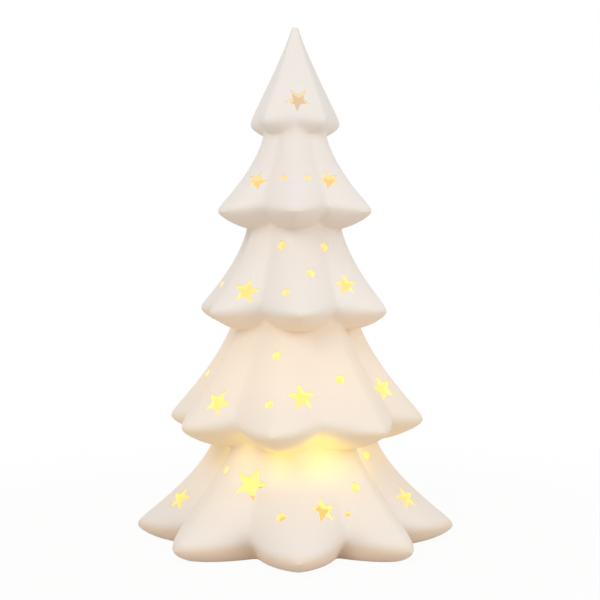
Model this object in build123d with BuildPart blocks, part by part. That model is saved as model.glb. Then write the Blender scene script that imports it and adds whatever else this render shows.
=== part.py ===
# Pierced porcelain christmas tree with a battery lamp module in its base.
# Millimetres, +Z up. The origin is the centre of the foot on the table.
# The front of the tree faces -Y. Azimuths count from the front toward +X.
import os
from math import cos, hypot, radians, sin, sqrt

from build123d import *

os.makedirs("parts", exist_ok=True)

# Porcelain tree
wall = 3.0
points_per_bough = 8
cavity_points_per_bough = 6
valley_softness = 0.1
cavity_top = 232.0

# One entry a tier, from the top down: where its flare begins, the sharp rim
# edge before it is rounded, and where its underside runs out. The valleys between
# boughs have their azimuths, and their depths at the neck and at the rim as shares
# of the radius.
tiers = [
    dict(top=250.0, top_radius=1.6, edge=202.8, edge_radius=24.4, foot=197.5, foot_radius=14.5, flare=1.15,
         rim_depth=0.20, droop=1.0, roll=3.5, roundness=1.0,
         valleys=(0, 80, 130, 180, 230, 280), necks=(0.16, 0.16, 0.16, 0.16, 0.16, 0.16)),
    dict(top=203.0, top_radius=16.0, edge=160.0, edge_radius=44.2, foot=152.0, foot_radius=23.5, flare=1.75,
         rim_depth=0.26, droop=2.0, roll=5.0, roundness=1.25,
         valleys=(30, 90, 150, 210, 270, 330), necks=(0.10, 0.12, 0.12, 0.12, 0.12, 0.10)),
    dict(top=160.0, top_radius=23.5, edge=112.5, edge_radius=51.2, foot=104.0, foot_radius=31.5, flare=1.75,
         rim_depth=0.26, droop=2.5, roll=5.0, roundness=1.25,
         valleys=(34, 92, 142, 188, 232, 279, 333),
         necks=(0.08, 0.14, 0.12, 0.12, 0.12, 0.18, 0.08)),
    dict(top=113.0, top_radius=30.0, edge=58.5, edge_radius=65.8, foot=49.0, foot_radius=40.0, flare=1.5,
         rim_depth=0.20, droop=3.0, roll=5.5, roundness=1.25,
         valleys=(15, 66, 105, 150, 195, 240, 281, 327),
         necks=(0.05, 0.17, 0.11, 0.11, 0.11, 0.11, 0.17, 0.05)),
    dict(top=56.0, top_radius=38.5, edge=6.8, edge_radius=81.8, foot=0.0, foot_radius=65.5, flare=1.65,
         rim_depth=0.27, droop=4.5, roll=8.0, roundness=1.3,
         valleys=(25, 61, 112, 157, 203, 249, 294, 338),
         necks=(0.05, 0.18, 0.11, 0.11, 0.11, 0.11, 0.18, 0.05)),
]
depth_growth = 1.7
underside_belly = 0.6
flare_steps = (0.0, 0.15, 0.3, 0.44, 0.56, 0.67, 0.76, 0.84, 0.9, 0.95, 1.0)
underside_steps = (0.1, 0.2, 0.32, 0.5, 1.0)
ring_spacing_least = 0.5

# Pierced stars: tier, azimuth, share of the flare, point radius, turn
star_waist = 0.44
star_points = 5
stars = [
    (0, 5, 0.78, 6.0, 180), (0, 130, 0.79, 5.6, 0), (0, 230, 0.79, 5.6, 0),
    (1, -42, 0.66, 5.4, 90), (1, 39, 0.65, 5.4, -90), (1, 112, 0.68, 5.4, 0), (1, 248, 0.68, 5.4, 20),
    (2, -38, 0.78, 6.6, 12), (2, 44, 0.72, 5.8, 0), (2, 120, 0.76, 6.0, -10), (2, 167, 0.78, 6.2, 8),
    (2, 208, 0.76, 5.8, 15),
    (3, -45, 0.76, 6.8, 20), (3, 4, 0.69, 7.2, 0), (3, 72, 0.69, 7.0, -14), (3, 125, 0.76, 6.6, 10),
    (3, 174, 0.72, 7.0, -8), (3, 219, 0.77, 6.6, 16), (3, 252, 0.72, 6.6, 0),
    (4, -26, 0.44, 8.6, 22), (4, 14, 0.63, 6.6, 4), (4, 74, 0.68, 6.8, 0), (4, 136, 0.60, 7.4, -12),
    (4, 182, 0.66, 6.8, 6), (4, 228, 0.58, 7.6, 18), (4, 282, 0.70, 6.8, 0),
]

# Pierced dots: tier, azimuth, share of the flare, radius
dots = [
    (1, -11, 0.63, 1.7), (1, 13, 0.63, 1.7), (1, 150, 0.63, 1.7), (1, 180, 0.65, 1.7), (1, 210, 0.63, 1.7),
    (2, -14, 0.33, 2.0), (2, 34, 0.35, 2.0), (2, 13, 0.60, 2.0), (2, -6, 0.78, 1.8), (2, -95, 0.73, 1.8),
    (2, 84, 0.44, 2.0), (2, 153, 0.44, 2.0), (2, 195, 0.46, 2.0),
    (3, -13, 0.36, 2.2), (3, 29, 0.56, 2.2), (3, -13, 0.74, 1.9), (3, -92, 0.58, 2.0), (3, 96, 0.45, 2.1),
    (3, 148, 0.48, 2.1), (3, 196, 0.46, 2.1), (3, 238, 0.50, 2.1),
    (4, -6, 0.67, 2.2), (4, 35, 0.47, 2.2), (4, 68, 0.26, 2.0), (4, -46, 0.34, 2.1), (4, 27, 0.69, 1.2),
    (4, 108, 0.50, 2.2), (4, 160, 0.52, 2.2), (4, 205, 0.53, 2.2), (4, 255, 0.50, 2.2),
]
cutter_outside = 8.0
cutter_inside = 11.0
slope_step = 0.5

# Foot of the tree, hollowed from below for the lamp module
foot_recess = 5.0
foot_recess_radius = 42.0
floor_thickness = 4.0
floor_hole_radius = 36.0
floor_top = foot_recess + floor_thickness

# Lamp module: flange, tub and gasket
module_bottom = 1.8
gasket_lip = 0.6
gasket_clearance = 0.1
gasket_stand = 0.6
flange_gap = 1.5
sleeve_room = 2.0
flange_top = foot_recess - gasket_lip
flange_radius = foot_recess_radius - flange_gap
housing_radius = floor_hole_radius - sleeve_room
housing_wall = 2.0
housing_top = 26.0

# Two AAA cells side by side along X
cell_radius = 5.25
cell_length = 44.5
cell_nub_radius = 1.9
cell_nub_length = 1.0
cell_pitch = 11.2
cell_gap = 0.3
contact_gap = 0.1
contact_thickness = 0.5
leaf_room = 4.4
leaf_thickness = 0.4
leaf_width = 5.0
leaf_bend = 0.6
leaf_foot_rise = 0.6
leaf_foot_run = 1.2
leaf_back_rise = 3.0
leaf_back_run = 1.3
plate_side_gap = 1.2
plate_foot_gap = 0.7

# Battery bay and its door
door_thickness = 2.2
door_gap = 0.25
door_lap = 0.4
door_top = module_bottom + door_thickness
cell_height = door_top + cell_gap + cell_radius
bay_length = cell_length + 2 * contact_thickness + leaf_room + contact_gap
bay_width = cell_pitch + 2 * (cell_radius + cell_gap)
bay_wall = 1.5
bay_x = -1.0
bay_roof = cell_height + cell_radius + cell_gap
bay_top = bay_roof + bay_wall
bay_left = bay_x - bay_length / 2
bay_right = bay_x + bay_length / 2
door_half_width = bay_width / 2 + door_lap
hinge_radius = door_thickness / 2
hinge_setback = 0.9
hinge_x = bay_left - hinge_setback
hinge_height = module_bottom + hinge_radius
pin_radius = 0.7
pin_clearance = 0.08
pin_length = 1.6
pin_reach = door_half_width + pin_length
tongue_half_width = 4.2
tongue_reach = 4.2
tongue_lip = 2.6
tongue_lap = 2.0
tongue_screw_x = bay_right + tongue_reach
tongue_end = tongue_screw_x + tongue_lip
tongue_root = bay_right - tongue_lap

# Screws
door_screw_radius = 1.25
door_screw_head_radius = 2.3
door_screw_head = 1.2
door_screw_length = 5.0
door_screw_clearance = 0.35
door_boss_radius = 3.0
door_boss_height = 5.0
cover_screw_radius = 1.2
cover_screw_head_radius = 2.4
cover_screw_head = 1.6
cover_screw_length = 9.0
cover_screw_end_gap = 0.3
cover_screw_circle = 29.6
cover_screw_angles = (60.0, 120.0, 240.0, 300.0)
cover_screw_places = [(cover_screw_circle * cos(radians(angle)), cover_screw_circle * sin(radians(angle)))
                      for angle in cover_screw_angles]
cover_boss_radius = 2.8
board_screw_radius = 0.8
board_screw_head_radius = 1.8
board_screw_head = 1.2
board_screw_length = 4.0
thread_clearance = 0.1
slot_width = 0.6
slot_share = 1.4

# Cover, lamp tower and diffuser cap
cover_thickness = 2.0
cover_top = housing_top + cover_thickness
tower_foot_radius = 7.6
tower_foot_height = 4.0
tower_foot_top = cover_top + tower_foot_height
tower_radius = 6.0
tower_height = 6.0
tower_top = tower_foot_top + tower_height
tower_bore = 3.2
cap_clearance = 0.15
cap_wall = 1.45
cap_shoulder = 9.0
cap_height = 26.0

# Circuit board, lamp and resistor
board_radius = 20.0
board_thickness = 1.2
board_post_height = 3.3
board_height = bay_top + board_post_height
board_top = board_height + board_thickness
board_post_x = 14.0
board_post_radius = 2.5
led_radius = 2.5
led_flange_radius = 2.9
led_flange = 1.0
led_body = 6.1
led_rise = 2.0
led_base = tower_foot_top + led_rise
lead_size = 0.5
lead_half_pitch = 1.27
lead_tail = 0.6
lead_clearance = 0.2
resistor_x = 9.0
resistor_radius = 1.1
resistor_end_radius = 1.35
resistor_end_length = 1.4
resistor_length = 6.4
resistor_lead_radius = 0.3
resistor_lead_y = 5.2
resistor_gap = 0.15
resistor_height = board_top + resistor_end_radius + resistor_gap
resistor_bend = 0.8

# Slide switch
switch_y = 22.0
switch_length = 9.0
switch_width = 4.4
switch_height = 4.0
switch_base = 0.5
switch_cavity_length = 7.8
switch_cavity_width = 3.2
switch_cavity_height = 2.3
carriage_length = 4.6
carriage_width = 2.8
carriage_height = 1.9
carriage_gap = 0.2
switch_travel = 2.6
stem_length = 2.4
stem_width = 1.4
stem_gap = 0.3
knob_bottom = 1.0
grip_depth = 0.35
terminal_pitch = 2.5
terminal_height = 1.8
terminal_thickness = 0.5
terminal_width = 1.2

# Wires
wire_radius = 0.6
wire_bend = 1.2
tab_half_width = 1.2
tab_rise = 2.3
wire_tab_rise = 1.3
wire_tab_height = bay_top + wire_tab_rise
wire_side = 3.1
wire_rise = 2.4
wire_top = board_top + wire_rise
red_side = 4.0
red_rise = 2.0
yellow_inset = 3.0
black_beyond = 2.0


def soft_min(first, second, softness):
    return (first + second - sqrt((first - second) ** 2 + softness**2)) / 2


# Radius of one tier's profile at a height; valley is 0 over a bough, 1 between boughs
def profile(tier, height, valley, inset, neck):
    edge = tier["edge"] + tier["droop"] * valley
    share = max(0.0, (tier["top"] - height) / (tier["top"] - edge))
    depth = neck + (tier["rim_depth"] - neck) * share**depth_growth
    growth = tier["edge_radius"] - tier["top_radius"]
    flare = (tier["top_radius"] + growth * share ** tier["flare"]) * (1 - depth * valley)
    edge_radius = tier["edge_radius"] * (1 - tier["rim_depth"] * valley)
    foot_radius = tier["foot_radius"] * (1 - tier["rim_depth"] * valley)
    flare_slope = tier["flare"] * growth / (tier["top"] - edge)
    under_slope = (edge_radius - foot_radius) / (edge - tier["foot"])
    rise = max(0.0, (height - tier["foot"]) / (edge - tier["foot"]))
    belly = underside_belly + (1 - underside_belly) * valley
    under = foot_radius + (edge_radius - foot_radius) * rise**belly
    flare -= inset * hypot(1, flare_slope)
    under -= inset * hypot(1, under_slope)
    return soft_min(flare, under, tier["roll"])


# Both sides of each bough, in degrees from the tier's first valley
def boughs(tier):
    edges = [valley - tier["valleys"][0] for valley in tier["valleys"]] + [360]
    return list(zip(edges, edges[1:]))


# 1 along the middle of a bough and 0 along the valley beside it, and that valley's
# depth at the neck
def bough_place(tier, azimuth):
    turned = (azimuth - tier["valleys"][0]) % 360
    necks = tier["necks"] + tier["necks"][:1]
    for index, (start, end) in enumerate(boughs(tier)):
        if start <= turned < end:
            across = 2 * (turned - start) / (end - start) - 1
            neck = necks[index] if across < 0 else necks[index + 1]
    share = 1 - abs(across) ** tier["roundness"]
    full = sqrt(1 + valley_softness**2) - valley_softness
    return (sqrt(share**2 + valley_softness**2) - valley_softness) / full, neck


# Point on a tier, set in by the inset
def tier_point(tier, azimuth, height, inset=0.0):
    share, neck = bough_place(tier, azimuth)
    between = profile(tier, height, 1, inset, neck)
    crest = profile(tier, height, 0, inset, neck)
    radius = between + (crest - between) * share
    return Vector(radius * sin(radians(azimuth)), -radius * cos(radians(azimuth)), height)


# Heights of the rings that a tier is lofted through, from its top to its foot
def ring_heights(tier, top, foot):
    heights = [top - (top - tier["edge"]) * step for step in flare_steps]
    heights += [tier["edge"] - (tier["edge"] - tier["foot"]) * step for step in underside_steps]
    return [height for height in heights if height > foot + ring_spacing_least] + [foot]


# One tier as a loft through its rings
def tier_loft(tier, top, foot, inset, spacing):
    azimuths = [tier["valleys"][0] + start + (end - start) * step / spacing
                for start, end in boughs(tier) for step in range(spacing)]
    with BuildPart() as lofted:
        for height in ring_heights(tier, top, foot):
            points = [tier_point(tier, azimuth, height, inset) for azimuth in azimuths]
            with BuildSketch(Plane.XY.offset(height)):
                with BuildLine():
                    Spline(*[(point.X, point.Y) for point in points], periodic=True)
                make_face()
        loft(ruled=True)
    return lofted.part


# Plane on a tier's surface with its normal outward and its y axis up the flare
def surface_plane(tier, azimuth, share):
    height = tier["top"] - (tier["top"] - tier["edge"]) * share
    point = tier_point(tier, azimuth, height)
    across = tier_point(tier, azimuth + slope_step, height) - tier_point(tier, azimuth - slope_step, height)
    up = tier_point(tier, azimuth, height + slope_step) - tier_point(tier, azimuth, height - slope_step)
    return Plane(point, x_dir=across, z_dir=across.cross(up))


# Solid of the tree
with BuildPart() as tree_solid:
    add([tier_loft(tier, tier["top"], tier["foot"], 0.0, points_per_bough) for tier in tiers])

# Hollow inside the tree
with BuildPart() as tree_cavity:
    cavity_ends = [(min(tier["top"], cavity_top), max(tier["foot"], floor_top)) for tier in tiers]
    add([tier_loft(tier, top, foot, wall, cavity_points_per_bough)
         for tier, (top, foot) in zip(tiers, cavity_ends)])

# Cutters for the stars and dots
piercings = []
for tier_index, azimuth, share, radius, turn in stars:
    plane = surface_plane(tiers[tier_index], azimuth, share)
    with BuildPart() as star_cutter:
        with BuildSketch(plane.offset(-cutter_inside)):
            with BuildLine():
                corners = []
                for step in range(2 * star_points):
                    reach = radius if step % 2 == 0 else radius * star_waist
                    angle = radians(90 - turn + 180 * step / star_points)
                    corners.append((reach * cos(angle), reach * sin(angle)))
                Polyline(*corners, close=True)
            make_face()
        extrude(amount=cutter_inside + cutter_outside)
    piercings.append(star_cutter.part)
for tier_index, azimuth, share, radius in dots:
    plane = surface_plane(tiers[tier_index], azimuth, share)
    with BuildPart() as dot_cutter:
        with BuildSketch(plane.offset(-cutter_inside)):
            Circle(radius)
        extrude(amount=cutter_inside + cutter_outside)
    piercings.append(dot_cutter.part)

# Porcelain shell
with BuildPart() as ceramic_shell:
    add(tree_solid.part)
    add(tree_cavity.part, mode=Mode.SUBTRACT)
    add(piercings, mode=Mode.SUBTRACT)
    with BuildSketch():
        Circle(foot_recess_radius)
    extrude(amount=foot_recess, mode=Mode.SUBTRACT)
    with BuildSketch(Plane.XY.offset(foot_recess)):
        Circle(floor_hole_radius)
    extrude(amount=floor_thickness, mode=Mode.SUBTRACT)
ceramic_shell.part.label = "ceramic_shell"
export_step(ceramic_shell.part, "parts/ceramic_shell.step")

# Gasket ring that seats the lamp module in the floor of the tree
with BuildPart() as gasket_ring:
    with BuildSketch(Plane.XZ):
        with BuildLine():
            sleeve_inside = housing_radius + gasket_clearance
            sleeve_outside = floor_hole_radius - gasket_clearance
            Polyline((sleeve_inside, flange_top), (flange_radius, flange_top), (flange_radius, foot_recess),
                     (sleeve_outside, foot_recess), (sleeve_outside, floor_top + gasket_stand),
                     (sleeve_inside, floor_top + gasket_stand), close=True)
        make_face()
    revolve(axis=Axis.Z)
gasket_ring.part.label = "gasket_ring"
export_step(gasket_ring.part, "parts/gasket_ring.step")

# Tub of the lamp module with the battery bay, bosses and posts
door_opening_left = hinge_x - hinge_radius - door_gap
door_opening_right = bay_right + door_gap
door_opening_half = door_half_width + door_gap
cell_y = cell_pitch / 2
contact_face = bay_left + contact_thickness
with BuildPart() as lamp_housing:
    with BuildSketch(Plane.XY.offset(module_bottom)):
        Circle(flange_radius)
    extrude(amount=flange_top - module_bottom)
    with BuildSketch(Plane.XY.offset(flange_top)):
        Circle(housing_radius)
        Circle(housing_radius - housing_wall, mode=Mode.SUBTRACT)
    extrude(amount=housing_top - flange_top)
    with BuildSketch(Plane.XY.offset(flange_top)):
        with Locations((bay_x, 0)):
            Rectangle(bay_length + 2 * bay_wall, bay_width + 2 * bay_wall)
    extrude(amount=bay_top - flange_top)
    with BuildSketch(Plane.XY.offset(flange_top)):
        with Locations(*cover_screw_places):
            Circle(cover_boss_radius)
    extrude(amount=housing_top - flange_top)
    with BuildSketch(Plane.XY.offset(flange_top)):
        with Locations((tongue_screw_x, 0)):
            Circle(door_boss_radius)
    extrude(amount=door_boss_height)
    with BuildSketch(Plane.XY.offset(bay_top)):
        with Locations((-board_post_x, 0), (board_post_x, 0)):
            Circle(board_post_radius)
    extrude(amount=board_height - bay_top)
    with BuildSketch(Plane.XY.offset(module_bottom)):
        with Locations((bay_x, 0)):
            Rectangle(bay_length, bay_width)
    extrude(amount=bay_roof - module_bottom, mode=Mode.SUBTRACT)
    with BuildSketch(Plane.XY.offset(module_bottom)):
        with Locations(((door_opening_left + door_opening_right) / 2, 0)):
            Rectangle(door_opening_right - door_opening_left, 2 * door_opening_half)
        with Locations(((bay_right + tongue_end + door_gap) / 2, 0)):
            Rectangle(tongue_end + door_gap - bay_right, 2 * (tongue_half_width + door_gap))
    extrude(amount=flange_top - module_bottom, mode=Mode.SUBTRACT)
    with BuildSketch(Plane.XZ):
        with Locations((hinge_x, hinge_height)):
            Circle(pin_radius + pin_clearance)
    extrude(amount=pin_reach + door_gap, both=True, mode=Mode.SUBTRACT)
    with BuildSketch(Plane.XY.offset(flange_top)):
        with Locations((tongue_screw_x, 0)):
            Circle(door_screw_radius + door_screw_clearance)
    extrude(amount=door_boss_height, mode=Mode.SUBTRACT)
    with BuildSketch(Plane.XY.offset(housing_top)):
        with Locations(*cover_screw_places):
            Circle(cover_screw_radius + thread_clearance)
    extrude(amount=-cover_screw_length, mode=Mode.SUBTRACT)
    with BuildSketch(Plane.XY.offset(bay_roof)):
        with Locations((-board_post_x, 0), (board_post_x, 0)):
            Circle(board_screw_radius + thread_clearance)
    extrude(amount=board_height - bay_roof, mode=Mode.SUBTRACT)
    with BuildSketch(Plane.XY.offset(bay_roof)):
        with Locations((bay_left + contact_thickness / 2, -cell_y),
                       (bay_left + contact_thickness / 2, cell_y)):
            Rectangle(contact_thickness, 2 * (tab_half_width + contact_gap))
    extrude(amount=bay_wall, mode=Mode.SUBTRACT)
    with BuildSketch(Plane.XY.offset(module_bottom)):
        with Locations((0, switch_y)):
            Rectangle(stem_length + switch_travel + 2 * stem_gap, stem_width + 2 * stem_gap)
    extrude(amount=flange_top - module_bottom, mode=Mode.SUBTRACT)
lamp_housing.part.label = "lamp_housing"
export_step(lamp_housing.part, "parts/lamp_housing.step")

# Cover over the tub, with the tower that carries the lamp
with BuildPart() as housing_cover:
    with BuildSketch(Plane.XY.offset(housing_top)):
        Circle(housing_radius)
    extrude(amount=cover_thickness)
    with BuildSketch(Plane.XY.offset(cover_top)):
        Circle(tower_foot_radius)
    extrude(amount=tower_foot_top - cover_top)
    with BuildSketch(Plane.XY.offset(tower_foot_top)):
        Circle(tower_radius)
    extrude(amount=tower_top - tower_foot_top)
    with BuildSketch(Plane.XY.offset(housing_top)):
        Circle(tower_bore)
        with Locations(*cover_screw_places):
            Circle(cover_screw_radius + thread_clearance)
    extrude(amount=tower_top - housing_top, mode=Mode.SUBTRACT)
housing_cover.part.label = "housing_cover"
export_step(housing_cover.part, "parts/housing_cover.step")

# Four screws that hold the cover
with BuildPart() as cover_screws:
    with BuildSketch(Plane.XY.offset(cover_top)):
        with Locations(*cover_screw_places):
            Circle(cover_screw_head_radius)
    extrude(amount=cover_screw_head)
    with BuildSketch(Plane.XY.offset(cover_top)):
        with Locations(*cover_screw_places):
            Circle(cover_screw_radius)
    extrude(amount=-(cover_thickness + cover_screw_length - cover_screw_end_gap))
    with BuildSketch(Plane.XY.offset(cover_top + cover_screw_head)):
        with Locations(*cover_screw_places):
            Rectangle(cover_screw_head_radius * slot_share, slot_width)
            Rectangle(slot_width, cover_screw_head_radius * slot_share)
    extrude(amount=-cover_screw_head / 2, mode=Mode.SUBTRACT)
cover_screws.part.label = "cover_screws"
export_step(cover_screws.part, "parts/cover_screws.step")

# Frosted cap that pushes over the lamp tower
cap_inside = tower_radius + cap_clearance
cap_outside = cap_inside + cap_wall
with BuildPart() as diffuser_cap:
    with BuildSketch(Plane.XZ):
        with BuildLine():
            cap_bottom = tower_foot_top
            shoulder = cap_bottom + cap_shoulder
            cap_tip = cap_bottom + cap_height
            Line((cap_outside, cap_bottom), (cap_outside, shoulder))
            Spline((cap_outside, shoulder), (0, cap_tip), tangents=((0, 1), (-1, 0)))
            Line((0, cap_tip), (0, cap_tip - cap_wall))
            Spline((0, cap_tip - cap_wall), (cap_inside, shoulder), tangents=((1, 0), (0, -1)))
            Line((cap_inside, shoulder), (cap_inside, cap_bottom))
            Line((cap_inside, cap_bottom), (cap_outside, cap_bottom))
        make_face()
    revolve(axis=Axis.Z)
diffuser_cap.part.label = "diffuser_cap"
export_step(diffuser_cap.part, "parts/diffuser_cap.step")

# Round circuit board on the two posts
with BuildPart() as circuit_board:
    with BuildSketch(Plane.XY.offset(board_height)):
        Circle(board_radius)
        with Locations((-lead_half_pitch, 0), (lead_half_pitch, 0)):
            Circle(lead_size / 2 + lead_clearance, mode=Mode.SUBTRACT)
        with Locations((-board_post_x, 0), (board_post_x, 0)):
            Circle(board_screw_radius + thread_clearance, mode=Mode.SUBTRACT)
        with Locations((resistor_x, -resistor_lead_y), (resistor_x, resistor_lead_y)):
            Circle(resistor_lead_radius + lead_clearance, mode=Mode.SUBTRACT)
    extrude(amount=board_thickness)
circuit_board.part.label = "circuit_board"
export_step(circuit_board.part, "parts/circuit_board.step")

# Two screws that hold the board
with BuildPart() as board_screws:
    with BuildSketch(Plane.XY.offset(board_top)):
        with Locations((-board_post_x, 0), (board_post_x, 0)):
            Circle(board_screw_head_radius)
    extrude(amount=board_screw_head)
    with BuildSketch(Plane.XY.offset(board_top)):
        with Locations((-board_post_x, 0), (board_post_x, 0)):
            Circle(board_screw_radius)
    extrude(amount=-board_screw_length)
    with BuildSketch(Plane.XY.offset(board_top + board_screw_head)):
        with Locations((-board_post_x, 0), (board_post_x, 0)):
            Rectangle(board_screw_head_radius * slot_share, slot_width)
            Rectangle(slot_width, board_screw_head_radius * slot_share)
    extrude(amount=-board_screw_head / 2, mode=Mode.SUBTRACT)
board_screws.part.label = "board_screws"
export_step(board_screws.part, "parts/board_screws.step")

# Warm white lamp at the top of the tower
with BuildPart() as led_lamp:
    with BuildSketch(Plane.XY.offset(led_base)):
        Circle(led_flange_radius)
    extrude(amount=led_flange)
    with BuildSketch(Plane.XY.offset(led_base)):
        Circle(led_radius)
    extrude(amount=led_body)
    with Locations((0, 0, led_base + led_body)):
        Sphere(led_radius)
led_lamp.part.label = "led_lamp"
export_step(led_lamp.part, "parts/led_lamp.step")

# Legs of the lamp, down through the board
with BuildPart() as led_leads:
    with BuildSketch(Plane.XY.offset(board_height - lead_tail)):
        with Locations((-lead_half_pitch, 0), (lead_half_pitch, 0)):
            Rectangle(lead_size, lead_size)
    extrude(amount=led_base - board_height + lead_tail)
led_leads.part.label = "led_leads"
export_step(led_leads.part, "parts/led_leads.step")

# Resistor lying on the board
with BuildPart() as resistor:
    with BuildSketch(Plane.XZ):
        with Locations((resistor_x, resistor_height)):
            Circle(resistor_radius)
    extrude(amount=resistor_length / 2, both=True)
    for end in (-1, 1):
        with BuildSketch(Plane.XZ.offset(end * (resistor_length - resistor_end_length) / 2)):
            with Locations((resistor_x, resistor_height)):
                Circle(resistor_end_radius)
        extrude(amount=resistor_end_length / 2, both=True)
resistor.part.label = "resistor"
export_step(resistor.part, "parts/resistor.step")

# Legs of the resistor, bent down through the board
with BuildPart() as resistor_leads:
    for end in (-1, 1):
        with BuildLine() as leg:
            FilletPolyline((resistor_x, end * resistor_length / 2, resistor_height),
                           (resistor_x, end * resistor_lead_y, resistor_height),
                           (resistor_x, end * resistor_lead_y, board_height - lead_tail),
                           radius=resistor_bend)
        with BuildSketch(Plane(leg.line @ 0, z_dir=leg.line % 0)):
            Circle(resistor_lead_radius)
        sweep(path=leg.line)
resistor_leads.part.label = "resistor_leads"
export_step(resistor_leads.part, "parts/resistor_leads.step")

# Body of the slide switch, hollow for its carriage
switch_floor = flange_top + switch_base
switch_top = flange_top + switch_height
with BuildPart() as switch_body:
    with BuildSketch(Plane.XY.offset(flange_top)):
        with Locations((0, switch_y)):
            Rectangle(switch_length, switch_width)
    extrude(amount=switch_height)
    with BuildSketch(Plane.XY.offset(switch_floor)):
        with Locations((0, switch_y)):
            Rectangle(switch_cavity_length, switch_cavity_width)
    extrude(amount=switch_cavity_height, mode=Mode.SUBTRACT)
    with BuildSketch(Plane.XY.offset(flange_top)):
        with Locations((0, switch_y)):
            Rectangle(stem_length + switch_travel + 2 * stem_gap, stem_width + 2 * stem_gap)
    extrude(amount=switch_base, mode=Mode.SUBTRACT)
switch_body.part.label = "switch_body"
export_step(switch_body.part, "parts/switch_body.step")

# Slider of the switch, resting at the on end of its travel
slider_x = -switch_travel / 2
carriage_bottom = switch_floor + carriage_gap
with BuildPart() as switch_slider:
    with BuildSketch(Plane.XY.offset(carriage_bottom)):
        with Locations((slider_x, switch_y)):
            Rectangle(carriage_length, carriage_width)
    extrude(amount=carriage_height)
    with BuildSketch(Plane.XY.offset(knob_bottom)):
        with Locations((slider_x, switch_y)):
            Rectangle(stem_length, stem_width)
    extrude(amount=carriage_bottom - knob_bottom)
    with BuildSketch(Plane.XY.offset(knob_bottom)):
        with Locations((slider_x, switch_y)):
            with GridLocations(stem_length / 3, 0, 3, 1):
                Rectangle(grip_depth, stem_width)
    extrude(amount=grip_depth, mode=Mode.SUBTRACT)
switch_slider.part.label = "switch_slider"
export_step(switch_slider.part, "parts/switch_slider.step")

# Three solder pins on the switch
with BuildPart() as switch_pins:
    with BuildSketch(Plane.XY.offset(switch_top)):
        with Locations((0, switch_y)):
            with GridLocations(terminal_pitch, 0, 3, 1):
                Rectangle(terminal_thickness, terminal_width)
    extrude(amount=terminal_height)
switch_pins.part.label = "switch_pins"
export_step(switch_pins.part, "parts/switch_pins.step")

# Battery door on two hinge pins, with a tongue for its screw
with BuildPart() as battery_door:
    with BuildSketch(Plane.XY.offset(module_bottom)):
        with Locations(((hinge_x + bay_right) / 2, 0)):
            Rectangle(bay_right - hinge_x, 2 * door_half_width)
        with Locations(((tongue_root + tongue_end) / 2, 0)):
            Rectangle(tongue_end - tongue_root, 2 * tongue_half_width)
    extrude(amount=door_thickness)
    with BuildSketch(Plane.XZ):
        with Locations((hinge_x, hinge_height)):
            Circle(hinge_radius)
    extrude(amount=door_half_width, both=True)
    with BuildSketch(Plane.XZ):
        with Locations((hinge_x, hinge_height)):
            Circle(pin_radius)
    extrude(amount=pin_reach, both=True)
    with BuildSketch(Plane.XY.offset(module_bottom)):
        with Locations((tongue_screw_x, 0)):
            Circle(door_screw_radius + door_gap)
    extrude(amount=door_thickness, mode=Mode.SUBTRACT)
    with BuildSketch(Plane.XY.offset(module_bottom)):
        with Locations((tongue_screw_x, 0)):
            Circle(door_screw_head_radius + door_gap)
    extrude(amount=door_screw_head + thread_clearance, mode=Mode.SUBTRACT)
battery_door.part.label = "battery_door"
export_step(battery_door.part, "parts/battery_door.step")

# Screw that stays in the door and closes it
door_screw_seat = module_bottom + door_screw_head + thread_clearance
with BuildPart() as door_screw:
    with BuildSketch(Plane.XY.offset(door_screw_seat)):
        with Locations((tongue_screw_x, 0)):
            Circle(door_screw_head_radius)
    extrude(amount=-door_screw_head)
    with BuildSketch(Plane.XY.offset(door_screw_seat)):
        with Locations((tongue_screw_x, 0)):
            Circle(door_screw_radius)
    extrude(amount=door_screw_length)
    with BuildSketch(Plane.XY.offset(door_screw_seat - door_screw_head)):
        with Locations((tongue_screw_x, 0)):
            Rectangle(door_screw_head_radius * slot_share, slot_width)
            Rectangle(slot_width, door_screw_head_radius * slot_share)
    extrude(amount=door_screw_head / 2, mode=Mode.SUBTRACT)
door_screw.part.label = "door_screw"
export_step(door_screw.part, "parts/door_screw.step")

# First cell, its button to -X
first_button = contact_face + contact_gap
with BuildPart() as battery_cell_1:
    with BuildSketch(Plane.YZ.offset(first_button + cell_nub_length)):
        with Locations((cell_y, cell_height)):
            Circle(cell_radius)
    extrude(amount=cell_length - cell_nub_length)
    with BuildSketch(Plane.YZ.offset(first_button)):
        with Locations((cell_y, cell_height)):
            Circle(cell_nub_radius)
    extrude(amount=cell_nub_length)
battery_cell_1.part.label = "battery_cell_1"
export_step(battery_cell_1.part, "parts/battery_cell_1.step")

# Second cell, its button to +X
second_button = bay_right - contact_thickness - contact_gap
with BuildPart() as battery_cell_2:
    with BuildSketch(Plane.YZ.offset(second_button - cell_length)):
        with Locations((-cell_y, cell_height)):
            Circle(cell_radius)
    extrude(amount=cell_length - cell_nub_length)
    with BuildSketch(Plane.YZ.offset(second_button - cell_nub_length)):
        with Locations((-cell_y, cell_height)):
            Circle(cell_nub_radius)
    extrude(amount=cell_nub_length)
battery_cell_2.part.label = "battery_cell_2"
export_step(battery_cell_2.part, "parts/battery_cell_2.step")

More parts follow.
